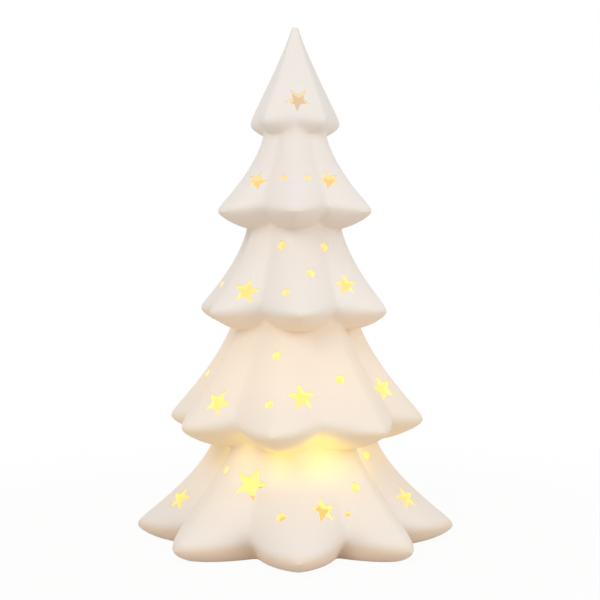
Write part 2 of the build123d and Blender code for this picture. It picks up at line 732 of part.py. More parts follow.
# Flat contact at the first cell's button, its tab up through the bay roof
plate_width = 2 * (cell_y - plate_side_gap)
plate_bottom = cell_height - cell_radius + plate_foot_gap
plate_height = bay_roof - plate_bottom - contact_gap
with BuildPart() as positive_contact:
    with BuildSketch(Plane.YZ.offset(bay_left)):
        with Locations((cell_y, plate_bottom + plate_height / 2)):
            Rectangle(plate_width, plate_height)
        with Locations((cell_y, (plate_bottom + bay_top + tab_rise) / 2)):
            Rectangle(2 * tab_half_width, bay_top + tab_rise - plate_bottom)
    extrude(amount=contact_thickness)
positive_contact.part.label = "positive_contact"
export_step(positive_contact.part, "parts/positive_contact.step")

# Contact with a bent leaf at the second cell's flat end
leaf_root = contact_face - contact_thickness / 2
leaf_foot_height = plate_bottom + leaf_foot_rise
leaf_tip = second_button - cell_length - contact_gap - leaf_thickness / 2
leaf_back = leaf_tip - leaf_back_run
with BuildPart() as negative_contact:
    with BuildSketch(Plane.YZ.offset(bay_left)):
        with Locations((-cell_y, plate_bottom + plate_height / 2)):
            Rectangle(plate_width, plate_height)
        with Locations((-cell_y, (plate_bottom + bay_top + tab_rise) / 2)):
            Rectangle(2 * tab_half_width, bay_top + tab_rise - plate_bottom)
    extrude(amount=contact_thickness)
    with BuildSketch(Plane.XZ.offset(cell_y)):
        with BuildLine():
            FilletPolyline((leaf_root, leaf_foot_height), (contact_face + leaf_foot_run, leaf_foot_height),
                           (leaf_tip, cell_height), (leaf_back, cell_height + leaf_back_rise),
                           radius=leaf_bend)
        trace(line_width=leaf_thickness)
    extrude(amount=leaf_width / 2, both=True)
negative_contact.part.label = "negative_contact"
export_step(negative_contact.part, "parts/negative_contact.step")

# Bridge that joins the two cells at the +X end
bridge_face = bay_right - contact_thickness
bridge_tip = first_button + cell_length + contact_gap + leaf_thickness / 2
with BuildPart() as bridge_contact:
    with BuildSketch(Plane.YZ.offset(bridge_face)):
        with Locations((0, plate_bottom + plate_height / 2)):
            Rectangle(cell_pitch + plate_width, plate_height)
    extrude(amount=contact_thickness)
    with BuildSketch(Plane.XZ.offset(-cell_y)):
        with BuildLine():
            FilletPolyline((bridge_face + contact_thickness / 2, leaf_foot_height),
                           (bridge_face - leaf_foot_run, leaf_foot_height), (bridge_tip, cell_height),
                           (bridge_tip + leaf_back_run, cell_height + leaf_back_rise), radius=leaf_bend)
        trace(line_width=leaf_thickness)
    extrude(amount=leaf_width / 2, both=True)
bridge_contact.part.label = "bridge_contact"
export_step(bridge_contact.part, "parts/bridge_contact.step")

# Wire from the flat contact round to the switch
turn_x = contact_face + wire_side
pin_top = switch_top + terminal_height
red_y = bay_width / 2 + bay_wall + red_side
red_top = pin_top + red_rise
with BuildPart() as wire_red:
    with BuildLine() as red_path:
        FilletPolyline((contact_face, cell_y, wire_tab_height), (turn_x, cell_y, wire_tab_height),
                       (turn_x, red_y, wire_tab_height), (turn_x, red_y, red_top),
                       (-terminal_pitch, red_y, red_top), (-terminal_pitch, switch_y, red_top),
                       (-terminal_pitch, switch_y, pin_top), radius=wire_bend)
    with BuildSketch(Plane(red_path.line @ 0, z_dir=red_path.line % 0)):
        Circle(wire_radius)
    sweep(path=red_path.line)
wire_red.part.label = "wire_red"
export_step(wire_red.part, "parts/wire_red.step")

# Wire from the switch up to the board
yellow_y = board_radius - yellow_inset
with BuildPart() as wire_yellow:
    with BuildLine() as yellow_path:
        FilletPolyline((0, switch_y, pin_top), (0, switch_y, wire_top),
                       (0, yellow_y, wire_top), (0, yellow_y, board_top), radius=wire_bend)
    with BuildSketch(Plane(yellow_path.line @ 0, z_dir=yellow_path.line % 0)):
        Circle(wire_radius)
    sweep(path=yellow_path.line)
wire_yellow.part.label = "wire_yellow"
export_step(wire_yellow.part, "parts/wire_yellow.step")

# Wire from the leaf contact up to the board
black_x = -board_post_x - black_beyond
with BuildPart() as wire_black:
    with BuildLine() as black_path:
        FilletPolyline((contact_face, -cell_y, wire_tab_height), (turn_x, -cell_y, wire_tab_height),
                       (turn_x, -cell_y, wire_top), (black_x, -cell_y, wire_top),
                       (black_x, -cell_y, board_top), radius=wire_bend)
    with BuildSketch(Plane(black_path.line @ 0, z_dir=black_path.line % 0)):
        Circle(wire_radius)
    sweep(path=black_path.line)
wire_black.part.label = "wire_black"
export_step(wire_black.part, "parts/wire_black.step")
print("wire radius", wire_radius, "bend", wire_bend)
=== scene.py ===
from math import atan2, ceil, cos, degrees, hypot, pi, radians, sin, sqrt

import bpy
from mathutils import Matrix, Vector


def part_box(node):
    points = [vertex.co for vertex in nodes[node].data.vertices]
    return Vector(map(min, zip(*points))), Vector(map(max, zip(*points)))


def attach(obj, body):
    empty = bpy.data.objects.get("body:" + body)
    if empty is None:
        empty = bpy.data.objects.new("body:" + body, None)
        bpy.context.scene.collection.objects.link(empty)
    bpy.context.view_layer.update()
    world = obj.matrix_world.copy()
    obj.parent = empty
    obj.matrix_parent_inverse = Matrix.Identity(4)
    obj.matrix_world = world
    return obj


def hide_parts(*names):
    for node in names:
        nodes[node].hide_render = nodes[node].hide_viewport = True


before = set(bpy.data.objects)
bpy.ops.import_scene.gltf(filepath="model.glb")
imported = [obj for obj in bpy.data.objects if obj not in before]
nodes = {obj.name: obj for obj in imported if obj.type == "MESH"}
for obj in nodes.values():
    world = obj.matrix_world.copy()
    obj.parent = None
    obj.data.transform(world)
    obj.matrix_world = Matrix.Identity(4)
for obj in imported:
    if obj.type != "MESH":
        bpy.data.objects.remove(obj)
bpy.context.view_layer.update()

# Camera. It stands about 0.6 m in front of the tree, a little above the middle
# of it, and looks slightly down, as the photograph was taken.
mm = 0.001
camera_place = Vector((2.455, -594.0, 146.0)) * mm
camera_down = radians(2.77)
camera_lens = 72.6
camera_sensor = 36.0
bpy.ops.object.select_all(action="DESELECT")
bpy.ops.object.camera_add(location=camera_place, rotation=(pi / 2 - camera_down, 0, 0))
camera = bpy.context.object
camera.data.sensor_width = camera_sensor
camera.data.lens = camera_lens
bpy.context.scene.camera = camera
bpy.context.scene.view_settings.view_transform = "Standard"


# Studio. A pale floor runs out into a white room, one large soft lamp stands at
# the front left and a weaker one at the right, and the room fills the shadows.
def new_node(tree, kind, inputs=None, **settings):
    node = tree.nodes.new(kind)
    for name, value in settings.items():
        setattr(node, name, value)
    for socket, value in (inputs or {}).items():
        if isinstance(value, bpy.types.NodeSocket):
            tree.links.new(value, node.inputs[socket])
        else:
            node.inputs[socket].default_value = value
    return node


def product(tree, first, second):
    return new_node(tree, "ShaderNodeMath", {0: first, 1: second}, operation="MULTIPLY").outputs[0]


def map_range(tree, value, low, high, start=0.0, end=1.0, interpolation="LINEAR"):
    sockets = {"Value": value, "From Min": low, "From Max": high, "To Min": start, "To Max": end}
    return new_node(tree, "ShaderNodeMapRange", sockets, interpolation_type=interpolation).outputs[0]


# 1 for a ray that the camera sees by, straight or through gloss and glass, and 0
# for one that carries light
def seen_rays(tree):
    path = new_node(tree, "ShaderNodeLightPath")
    glossy = new_node(tree, "ShaderNodeMath", operation="MAXIMUM",
                      inputs={0: path.outputs["Is Camera Ray"], 1: path.outputs["Is Glossy Ray"]})
    clear = new_node(tree, "ShaderNodeMath", operation="MAXIMUM",
                     inputs={0: glossy.outputs[0], 1: path.outputs["Is Transmission Ray"]})
    return clear.outputs[0]


white = (1, 1, 1, 1)
room_colour = (1.0, 0.985, 0.97, 1)
room_light = 0.66
world = bpy.data.worlds.new("white_room")
bpy.context.scene.world = world
world.use_nodes = True
room = world.node_tree
room.nodes.clear()
room_fill = new_node(room, "ShaderNodeBackground", {"Color": room_colour, "Strength": room_light})
room_white = new_node(room, "ShaderNodeBackground", {"Color": white, "Strength": 1.0})
room_mix = new_node(room, "ShaderNodeMixShader",
                    {0: seen_rays(room), 1: room_fill.outputs[0], 2: room_white.outputs[0]})
new_node(room, "ShaderNodeOutputWorld", {"Surface": room_mix.outputs[0]})

# The floor shows a trace of shadow near the tree and is plain white further out
floor_size = 6.0
floor_colour = (0.80, 0.76, 0.72, 1)
fade_start = 0.12
fade_end = 0.34
least_white = 0.95
bpy.ops.mesh.primitive_plane_add(size=floor_size, location=(0, 0, 0))
floor = bpy.context.object
floor.name = "studio_floor"
floor_paint = bpy.data.materials.new("studio_floor")
floor_paint.use_nodes = True
paint = floor_paint.node_tree
paint.nodes.clear()
floor_place = new_node(paint, "ShaderNodeTexCoord")
floor_reach = new_node(paint, "ShaderNodeVectorMath", {0: floor_place.outputs["Object"]},
                       operation="LENGTH")
fade = map_range(paint, floor_reach.outputs["Value"], fade_start, fade_end, least_white, 1.0, "SMOOTHSTEP")
floor_matt = new_node(paint, "ShaderNodeBsdfDiffuse", {"Color": floor_colour})
floor_white = new_node(paint, "ShaderNodeEmission", {"Color": white, "Strength": 1.0})
floor_mix = new_node(paint, "ShaderNodeMixShader",
                     {0: product(paint, fade, seen_rays(paint)), 1: floor_matt.outputs[0],
                      2: floor_white.outputs[0]})
new_node(paint, "ShaderNodeOutputMaterial", {"Surface": floor_mix.outputs[0]})
floor.data.materials.append(floor_paint)

# Lamps of the studio: name, place, width and power
lamps = [
    ("key_lamp", Vector((-0.62, -0.95, 0.95)), 0.7, 5.0),
    ("side_lamp", Vector((0.85, -0.55, 0.45)), 0.6, 2.1),
]
lamp_aim = Vector((0, 0, 0.11))
for name, location, width, power in lamps:
    bpy.ops.object.light_add(type="AREA", location=location)
    lamp = bpy.context.object
    lamp.name = name
    lamp.data.size = width
    lamp.data.energy = power
    lamp.rotation_euler = (location - lamp_aim).to_track_quat("Z", "Y").to_euler()


# Porcelain tree. One slip-cast shell of matt white bisque, five skirts of boughs
# over one another, with stars and dots punched through the wall while it was soft.
# It is wrapped as one closed sheet: outside, foot, recess, floor hole and hollow.

# One entry a tier, from the top down: where its flare begins, the rim's edge before
# it is rounded, and where its underside runs out. Each valley between boughs has
# its azimuth, and its depth at the neck as a share of the radius.
tiers = [
    dict(top=250.0, top_radius=1.6, edge=202.8, edge_radius=24.4, foot=197.5, foot_radius=14.5,
         flare=1.15, rim_depth=0.20, droop=1.0, roll=3.5, roundness=1.0,
         valleys=(0, 80, 130, 180, 230, 280),
         necks=(0.16, 0.16, 0.16, 0.16, 0.16, 0.16)),
    dict(top=203.0, top_radius=16.0, edge=160.0, edge_radius=44.2, foot=152.0, foot_radius=23.5,
         flare=1.75, rim_depth=0.26, droop=2.0, roll=5.0, roundness=1.25,
         valleys=(30, 90, 150, 210, 270, 330),
         necks=(0.10, 0.12, 0.12, 0.12, 0.12, 0.10)),
    dict(top=160.0, top_radius=23.5, edge=112.5, edge_radius=51.2, foot=104.0, foot_radius=31.5,
         flare=1.75, rim_depth=0.26, droop=2.5, roll=5.0, roundness=1.25,
         valleys=(34, 92, 142, 188, 232, 279, 333),
         necks=(0.08, 0.14, 0.12, 0.12, 0.12, 0.18, 0.08)),
    dict(top=113.0, top_radius=30.0, edge=58.5, edge_radius=65.8, foot=49.0, foot_radius=40.0,
         flare=1.5, rim_depth=0.20, droop=3.0, roll=5.5, roundness=1.25,
         valleys=(15, 66, 105, 150, 195, 240, 281, 327),
         necks=(0.05, 0.17, 0.11, 0.11, 0.11, 0.11, 0.17, 0.05)),
    dict(top=56.0, top_radius=38.5, edge=6.8, edge_radius=81.8, foot=0.0, foot_radius=65.5,
         flare=1.65, rim_depth=0.27, droop=4.5, roll=8.0, roundness=1.3,
         valleys=(25, 61, 112, 157, 203, 249, 294, 338),
         necks=(0.05, 0.18, 0.11, 0.11, 0.11, 0.11, 0.18, 0.05)),
]
depth_growth = 1.7
underside_belly = 0.6
valley_softness = 0.1
neck_fillet = 1.6
tip_round = 2.4
wall = 3.0
tree_top = tiers[0]["top"]
cavity_top = 232.0
recess_radius = 42.0
recess_top = 5.0
hole_radius = 36.0
floor_top = 9.0


def soft_min(first, second, softness):
    return (first + second - sqrt((first - second) ** 2 + softness**2)) / 2


def soft_max(first, second, softness):
    return (first + second + sqrt((first - second) ** 2 + softness**2)) / 2


# Radius of one tier at a height; valley is 0 over a bough and 1 between boughs
def tier_profile(tier, height, valley, inset, neck):
    edge = tier["edge"] + tier["droop"] * valley
    share = max(0.0, (tier["top"] - height) / (tier["top"] - edge))
    depth = neck + (tier["rim_depth"] - neck) * share**depth_growth
    growth = tier["edge_radius"] - tier["top_radius"]
    flare = (tier["top_radius"] + growth * share ** tier["flare"]) * (1 - depth * valley)
    edge_radius = tier["edge_radius"] * (1 - tier["rim_depth"] * valley)
    foot_radius = tier["foot_radius"] * (1 - tier["rim_depth"] * valley)
    flare_slope = tier["flare"] * growth / (tier["top"] - edge)
    under_slope = (edge_radius - foot_radius) / (edge - tier["foot"])
    rise = max(0.0, (height - tier["foot"]) / (edge - tier["foot"]))
    belly = underside_belly + (1 - underside_belly) * valley
    under = foot_radius + (edge_radius - foot_radius) * rise**belly
    flare -= inset * hypot(1, flare_slope)
    under -= inset * hypot(1, under_slope)
    return soft_min(flare, under, tier["roll"])


# 1 along the middle of a bough and 0 along the valley beside it, and that valley's
# depth at the neck
def bough_place(tier, azimuth):
    turned = (azimuth - tier["valleys"][0]) % 360
    starts = [valley - tier["valleys"][0] for valley in tier["valleys"]] + [360]
    necks = tier["necks"] + tier["necks"][:1]
    for index, (start, end) in enumerate(zip(starts, starts[1:])):
        if start <= turned < end:
            across = 2 * (turned - start) / (end - start) - 1
            neck = necks[index] if across < 0 else necks[index + 1]
    share = 1 - abs(across) ** tier["roundness"]
    full = sqrt(1 + valley_softness**2) - valley_softness
    return (sqrt(share**2 + valley_softness**2) - valley_softness) / full, neck


def tier_radius(tier, azimuth, height, inset=0.0):
    share, neck = bough_place(tier, azimuth)
    between = tier_profile(tier, height, 1, inset, neck)
    crest = tier_profile(tier, height, 0, inset, neck)
    return between + (crest - between) * share


def tree_radius(azimuth, height, inset=0.0):
    radius = 0.0
    for tier in tiers:
        if tier["foot"] <= height <= tier["top"]:
            own = tier_radius(tier, azimuth, height, inset)
            radius = own if radius == 0.0 else soft_max(radius, own, neck_fillet)
    below_tip = tree_top - height
    if below_tip < tip_round:
        radius = min(radius, sqrt(2 * tip_round * below_tip - below_tip**2))
    return radius


def tree_point(azimuth, height, radius):
    return Vector((radius * sin(radians(azimuth)), -radius * cos(radians(azimuth)), height)) * mm


# Heights from the top to the bottom of the wall, an even distance apart along it
def even_heights(top, bottom, spacing, inset):
    fine_step = 0.1
    least_gap = spacing / 4
    count = ceil((top - bottom) / fine_step)
    heights = [top + (bottom - top) * step / count for step in range(count + 1)]
    radii = [tree_radius(0.0, height, inset) for height in heights]
    kept = [top]
    run = 0.0
    for step in range(1, count + 1):
        run += hypot(heights[step] - heights[step - 1], radii[step] - radii[step - 1])
        if run >= spacing:
            kept.append(heights[step])
            run = 0.0
    if bottom < kept[-1] - least_gap:
        kept.append(bottom)
    else:
        kept[-1] = bottom
    return kept


# Rows of the sheet, from the tip down the outside, over the foot and up the hollow
columns = 200
outside_spacing = 1.7
inside_spacing = 3.2
tip_shares = (0.0, 0.03, 0.1, 0.2, 0.35, 0.6)
outside_heights = even_heights(tree_top - tip_round, 0.0, outside_spacing, 0.0)
inside_heights = even_heights(cavity_top, floor_top, inside_spacing, wall)
contour = [("outside", tree_top - tip_round * share) for share in tip_shares]
contour += [("outside", height) for height in outside_heights]
contour += [("foot", (0.0, recess_radius)), ("foot", (recess_top, recess_radius))]
contour += [("foot", (recess_top, hole_radius)), ("foot", (floor_top, hole_radius))]
contour += [("inside", height) for height in reversed(inside_heights)]
contour += [("inside_end", cavity_top)]
last_row = len(contour) - 1
first_inside = [kind for kind, _ in contour].index("inside")


def contour_point(row, azimuth):
    kind, value = contour[row]
    if kind == "foot":
        height, radius = value
        return tree_point(azimuth, height, radius)
    if kind == "inside_end":
        return tree_point(azimuth, value, 0.0)
    inset = wall if kind == "inside" else 0.0
    return tree_point(azimuth, value, tree_radius(azimuth, value, inset))


# Painted light that the lamp inside puts on the wall, by height, distance from the axis
# and direction: brightest on the neck over the lowest skirt, fading up the tree. It also
# gives a painted warm shade under each skirt and at the foot.
glow = bpy.data.node_groups.new("lamp_glow", "ShaderNodeTree")
for name in ("Wall", "Hollow", "Tint"):
    glow.interface.new_socket(name, in_out="OUTPUT", socket_type="NodeSocketColor")
wall_glow_stops = [
    (0.0, (0.020, 0.008, 0.002)), (12.0, (0.020, 0.010, 0.002)), (30.0, (0.070, 0.040, 0.006)),
    (42.0, (0.120, 0.070, 0.008)), (58.0, (0.060, 0.030, 0.004)), (66.0, (0.075, 0.030, 0.003)),
    (84.0, (0.110, 0.054, 0.006)), (104.0, (0.075, 0.036, 0.006)), (114.0, (0.020, 0.012, 0.003)),
    (150.0, (0.010, 0.005, 0.001)), (200.0, (0.0, 0.0, 0.0)),
]
# Painted warm shade by height: darker and warmer under each skirt's rim and at the foot
painted_shade_stops = [
    (0.0, (0.93, 0.80, 0.66)), (6.0, (0.95, 0.83, 0.70)), (11.0, (1.0, 0.985, 0.96)),
    (34.0, (1.0, 0.97, 0.92)), (44.0, (1.0, 0.93, 0.80)), (50.0, (0.98, 0.87, 0.66)),
    (57.0, (0.98, 0.89, 0.72)), (62.0, (1.0, 0.985, 0.93)), (90.0, (1.0, 0.965, 0.89)),
    (100.0, (1.0, 0.95, 0.87)), (106.0, (0.97, 0.88, 0.75)), (111.0, (0.97, 0.90, 0.79)),
    (115.0, (1.0, 1.0, 0.985)), (147.0, (1.0, 0.98, 0.95)), (153.0, (0.95, 0.89, 0.82)),
    (159.0, (0.96, 0.91, 0.85)), (163.0, (1.0, 1.0, 1.0)), (194.0, (0.99, 0.98, 0.96)),
    (199.0, (0.95, 0.92, 0.87)), (204.0, (1.0, 1.0, 1.0)),
]
hollow_glow_stops = [
    (0.0, (1.0, 0.70, 0.24)), (70.0, (1.0, 0.78, 0.26)), (125.0, (1.0, 0.70, 0.27)),
    (172.0, (0.98, 0.57, 0.26)), (212.0, (0.62, 0.50, 0.36)),
]

# Bright patches on that neck: azimuth, strength and narrowness
spots = [
    (18.0, 0.65, 22.0), (-10.0, 0.45, 60.0), (-34.0, 0.22, 120.0), (60.0, 0.40, 160.0),
    (-64.0, 0.25, 160.0), (165.0, 0.5, 40.0), (-150.0, 0.4, 40.0),
]
spot_colour = (0.55, 0.46, 0.02, 1)
spot_low = 24.0
spot_high = 50.0
spot_near = 43.0
spot_far = 56.0
spot_fade = 56.0
spot_top = 62.0


def colour_ramp(tree, share, stops, interpolation, full=1.0):
    ramp = new_node(tree, "ShaderNodeValToRGB", {0: share})
    ramp.color_ramp.interpolation = interpolation
    while len(ramp.color_ramp.elements) < len(stops):
        ramp.color_ramp.elements.new(0.5)
    for element, (level, colour) in zip(ramp.color_ramp.elements, stops):
        element.position = level / full
        element.color = (*colour, 1)
    return ramp.outputs["Color"]


glow_place = new_node(glow, "ShaderNodeTexCoord").outputs["Object"]
glow_height = new_node(glow, "ShaderNodeSeparateXYZ", {0: glow_place}).outputs["Z"]
glow_level = map_range(glow, glow_height, 0.0, tree_top * mm)
flat_place = new_node(glow, "ShaderNodeVectorMath", {0: glow_place, 1: (1, 1, 0)}, operation="MULTIPLY")
from_axis = new_node(glow, "ShaderNodeVectorMath", {0: flat_place.outputs[0]}, operation="LENGTH")
heading = new_node(glow, "ShaderNodeVectorMath", {0: flat_place.outputs[0]}, operation="NORMALIZE")
spot_sum = 0.0
for azimuth, strength, narrowness in spots:
    toward = (sin(radians(azimuth)), -cos(radians(azimuth)), 0)
    facing = new_node(glow, "ShaderNodeVectorMath", {0: heading.outputs[0], 1: toward},
                      operation="DOT_PRODUCT")
    ahead = new_node(glow, "ShaderNodeMath", {0: facing.outputs["Value"], 1: 0.0}, operation="MAXIMUM")
    lobe = new_node(glow, "ShaderNodeMath", {0: ahead.outputs[0], 1: narrowness}, operation="POWER")
    spot = product(glow, lobe.outputs[0], strength)
    spot_sum = new_node(glow, "ShaderNodeMath", {0: spot_sum, 1: spot}, operation="ADD").outputs[0]
spot_rise = map_range(glow, glow_height, spot_low * mm, spot_high * mm, interpolation="SMOOTHSTEP")
spot_inward = map_range(glow, from_axis.outputs["Value"], spot_far * mm, spot_near * mm,
                        interpolation="SMOOTHSTEP")
spot_below = map_range(glow, glow_height, spot_top * mm, spot_fade * mm)
spot_mask = product(glow, product(glow, spot_rise, spot_inward), spot_below)
wall_glow = colour_ramp(glow, glow_level, wall_glow_stops, "EASE", tree_top)
spot_paint = new_node(glow, "ShaderNodeMix",
                      {"Factor": product(glow, spot_mask, spot_sum), "A": wall_glow, "B": spot_colour},
                      data_type="RGBA", blend_type="ADD")
hollow_glow = colour_ramp(glow, glow_level, hollow_glow_stops, "EASE", tree_top)
painted_shade = colour_ramp(glow, glow_level, painted_shade_stops, "EASE", tree_top)
new_node(glow, "NodeGroupOutput",
         {"Wall": spot_paint.outputs["Result"], "Hollow": hollow_glow, "Tint": painted_shade})

# Grain of a matt or moulded surface: fine bumps, and a slow drift of tone
grain_detail = 3.0
drift_scale = 28.0
drift_detail = 2.0
noise_low = 0.3
noise_high = 0.7
rough_swing = 0.05
grain = bpy.data.node_groups.new("surface_grain", "ShaderNodeTree")
for name, kind in [("Colour", "NodeSocketColor"), ("Grain size", "NodeSocketFloat"),
                   ("Depth", "NodeSocketFloat"), ("Drift", "NodeSocketFloat"),
                   ("Roughness", "NodeSocketFloat")]:
    grain.interface.new_socket(name, in_out="INPUT", socket_type=kind)
for name, kind in [("Colour", "NodeSocketColor"), ("Roughness", "NodeSocketFloat"),
                   ("Normal", "NodeSocketVector")]:
    grain.interface.new_socket(name, in_out="OUTPUT", socket_type=kind)
grain_in = new_node(grain, "NodeGroupInput")
grain_place = new_node(grain, "ShaderNodeTexCoord").outputs["Object"]
grain_scale = new_node(grain, "ShaderNodeMath", {0: 1.0, 1: grain_in.outputs["Grain size"]},
                       operation="DIVIDE")
fine = new_node(grain, "ShaderNodeTexNoise",
                {"Vector": grain_place, "Scale": grain_scale.outputs[0], "Detail": grain_detail})
slow = new_node(grain, "ShaderNodeTexNoise",
                {"Vector": grain_place, "Scale": drift_scale, "Detail": drift_detail})
low_tone = new_node(grain, "ShaderNodeMath", {0: 1.0, 1: grain_in.outputs["Drift"]},
                    operation="SUBTRACT")
tone = map_range(grain, slow.outputs[0], noise_low, noise_high, low_tone.outputs[0], 1.0)
tinted = new_node(grain, "ShaderNodeVectorMath", {0: grain_in.outputs["Colour"], "Scale": tone},
                  operation="SCALE")
rough_add = map_range(grain, fine.outputs[0], noise_low, noise_high, -rough_swing, rough_swing)
rough = new_node(grain, "ShaderNodeMath", {0: grain_in.outputs["Roughness"], 1: rough_add},
                 operation="ADD")
bumps = new_node(grain, "ShaderNodeBump", {"Strength": 1.0, "Distance": grain_in.outputs["Depth"],
                                           "Height": fine.outputs[0]})
new_node(grain, "NodeGroupOutput", {"Colour": tinted.outputs[0], "Roughness": rough.outputs[0],
                                    "Normal": bumps.outputs[0]})


def finish_material(name, colour, grain_size, depth, drift, roughness, **sockets):
    material = bpy.data.materials.new(name)
    material.use_nodes = True
    tree = material.node_tree
    shader = tree.nodes["Principled BSDF"]
    surface = new_node(tree, "ShaderNodeGroup",
                       {"Colour": (*colour, 1), "Grain size": grain_size * mm, "Depth": depth * mm,
                        "Drift": drift, "Roughness": roughness},
                       node_tree=grain, name="surface_grain")
    tree.links.new(surface.outputs["Colour"], shader.inputs["Base Color"])
    tree.links.new(surface.outputs["Roughness"], shader.inputs["Roughness"])
    tree.links.new(surface.outputs["Normal"], shader.inputs["Normal"])
    for socket, value in sockets.items():
        shader.inputs[socket.replace("_", " ")].default_value = value
    return material


def paint_colour(material, colour):
    tree = material.node_tree
    tree.links.new(colour, tree.nodes["surface_grain"].inputs["Colour"])


def add_glow(material, output, strength):
    tree = material.node_tree
    shader = tree.nodes["Principled BSDF"]
    lit = new_node(tree, "ShaderNodeGroup", node_tree=glow, name="lamp_glow")
    tree.links.new(lit.outputs[output], shader.inputs["Emission Color"])
    shader.inputs["Emission Strength"].default_value = strength


# The porcelain's white is multiplied by the painted warm shade, and the lamp's light is painted on it as a
# glow
porcelain_white = (0.872, 0.826, 0.785)
porcelain = finish_material("bisque_porcelain", porcelain_white, grain_size=0.7, depth=0.012,
                            drift=0.02, roughness=0.55)
add_glow(porcelain, "Wall", strength=1.0)
body_painted_shade = porcelain.node_tree.nodes["lamp_glow"].outputs["Tint"]
white_with_painted_shade = new_node(porcelain.node_tree, "ShaderNodeMix",
                        {"Factor": 1.0, "A": (*porcelain_white, 1), "B": body_painted_shade},
                        data_type="RGBA", blend_type="MULTIPLY")
paint_colour(porcelain, white_with_painted_shade.outputs["Result"])
# The hollow's wall is painted dark as shade, with the lamp's light painted on as a glow
hollow_porcelain = finish_material("lit_hollow", (0.25, 0.20, 0.12), grain_size=1.2, depth=0.02,
                                   drift=0.05, roughness=0.7)
add_glow(hollow_porcelain, "Hollow", strength=0.92)
# The walls of the punched holes are painted a warmer tone with the lamp's light painted on as a glow
glowing_cut_porcelain = finish_material("punched_edge_glow", (0.80, 0.70, 0.48), grain_size=0.9, depth=0.02,
                                drift=0.03, roughness=0.6)
add_glow(glowing_cut_porcelain, "Hollow", strength=0.45)

# The sheet is wrapped round the axis, and its seam and two poles are welded
seam_weld = 0.000001
outside_slot, hollow_slot = 0, 1
bpy.ops.object.select_all(action="DESELECT")
bpy.ops.mesh.primitive_grid_add(x_subdivisions=columns, y_subdivisions=last_row, size=1)
porcelain_tree = bpy.context.object
porcelain_tree.name = "porcelain_tree"
porcelain_tree.data.materials.append(porcelain)
porcelain_tree.data.materials.append(hollow_porcelain)
for face in porcelain_tree.data.polygons:
    row = (face.center.y + 0.5) * last_row
    face.material_index = hollow_slot if row > first_inside - 1 else outside_slot
for vertex in porcelain_tree.data.vertices:
    row = round((vertex.co.y + 0.5) * last_row)
    vertex.co = contour_point(row, 360 * (vertex.co.x + 0.5))
bpy.ops.object.mode_set(mode="EDIT")
bpy.ops.mesh.select_all(action="SELECT")
bpy.ops.mesh.remove_doubles(threshold=seam_weld)
bpy.ops.mesh.normals_make_consistent(inside=False)
bpy.ops.object.mode_set(mode="OBJECT")

# Stars and dots: tier, azimuth, share of the flare, radius and a star's turn
star_waist = 0.44
star_points = 5
stars = [
    (0, 5, 0.78, 6.0, 180), (0, 130, 0.79, 5.6, 0), (0, 230, 0.79, 5.6, 0),
    (1, -42, 0.66, 5.4, 90), (1, 39, 0.65, 5.4, -90), (1, 112, 0.68, 5.4, 0), (1, 248, 0.68, 5.4, 20),
    (2, -38, 0.78, 6.6, 12), (2, 44, 0.72, 5.8, 0), (2, 120, 0.76, 6.0, -10), (2, 167, 0.78, 6.2, 8),
    (2, 208, 0.76, 5.8, 15),
    (3, -45, 0.76, 6.8, 20), (3, 4, 0.69, 7.2, 0), (3, 72, 0.69, 7.0, -14), (3, 125, 0.76, 6.6, 10),
    (3, 174, 0.72, 7.0, -8), (3, 219, 0.77, 6.6, 16), (3, 252, 0.72, 6.6, 0),
    (4, -26, 0.44, 8.6, 22), (4, 14, 0.63, 6.6, 4), (4, 74, 0.68, 6.8, 0), (4, 136, 0.60, 7.4, -12),
    (4, 182, 0.66, 6.8, 6), (4, 228, 0.58, 7.6, 18), (4, 282, 0.70, 6.8, 0),
]
dots = [
    (1, -11, 0.63, 1.7), (1, 13, 0.63, 1.7), (1, 150, 0.63, 1.7), (1, 180, 0.65, 1.7),
    (1, 210, 0.63, 1.7),
    (2, -14, 0.33, 2.0), (2, 34, 0.35, 2.0), (2, 13, 0.60, 2.0), (2, -6, 0.78, 1.8),
    (2, -95, 0.73, 1.8), (2, 84, 0.44, 2.0), (2, 153, 0.44, 2.0), (2, 195, 0.46, 2.0),
    (3, -13, 0.36, 2.2), (3, 29, 0.56, 2.2), (3, -13, 0.74, 1.9), (3, -92, 0.58, 2.0),
    (3, 96, 0.45, 2.1), (3, 148, 0.48, 2.1), (3, 196, 0.46, 2.1), (3, 238, 0.50, 2.1),
    (4, -6, 0.67, 2.2), (4, 35, 0.47, 2.2), (4, 68, 0.26, 2.0), (4, -46, 0.34, 2.1),
    (4, 27, 0.69, 1.2), (4, 108, 0.50, 2.2), (4, 160, 0.52, 2.2), (4, 205, 0.53, 2.2),
    (4, 255, 0.50, 2.2),
]
cutter_outside = 8.0
cutter_inside = 11.0
slope_step = 0.5
lift_halvings = 18
dot_sides = 20
edge_steps = 4
sponge_round = 0.45


def surface_matrix(tier, azimuth, share):
    height = tier["top"] - (tier["top"] - tier["edge"]) * share

    def point(turn, rise):
        radius = tier_radius(tier, azimuth + turn, height + rise)
        return tree_point(azimuth + turn, height + rise, radius)

    across = (point(slope_step, 0) - point(-slope_step, 0)).normalized()
    normal = across.cross(point(0, slope_step) - point(0, -slope_step)).normalized()
    up = normal.cross(across)
    middle = point(0, 0)
    return Matrix(((across.x, up.x, normal.x, middle.x), (across.y, up.y, normal.y, middle.y),
                   (across.z, up.z, normal.z, middle.z), (0, 0, 0, 1)))


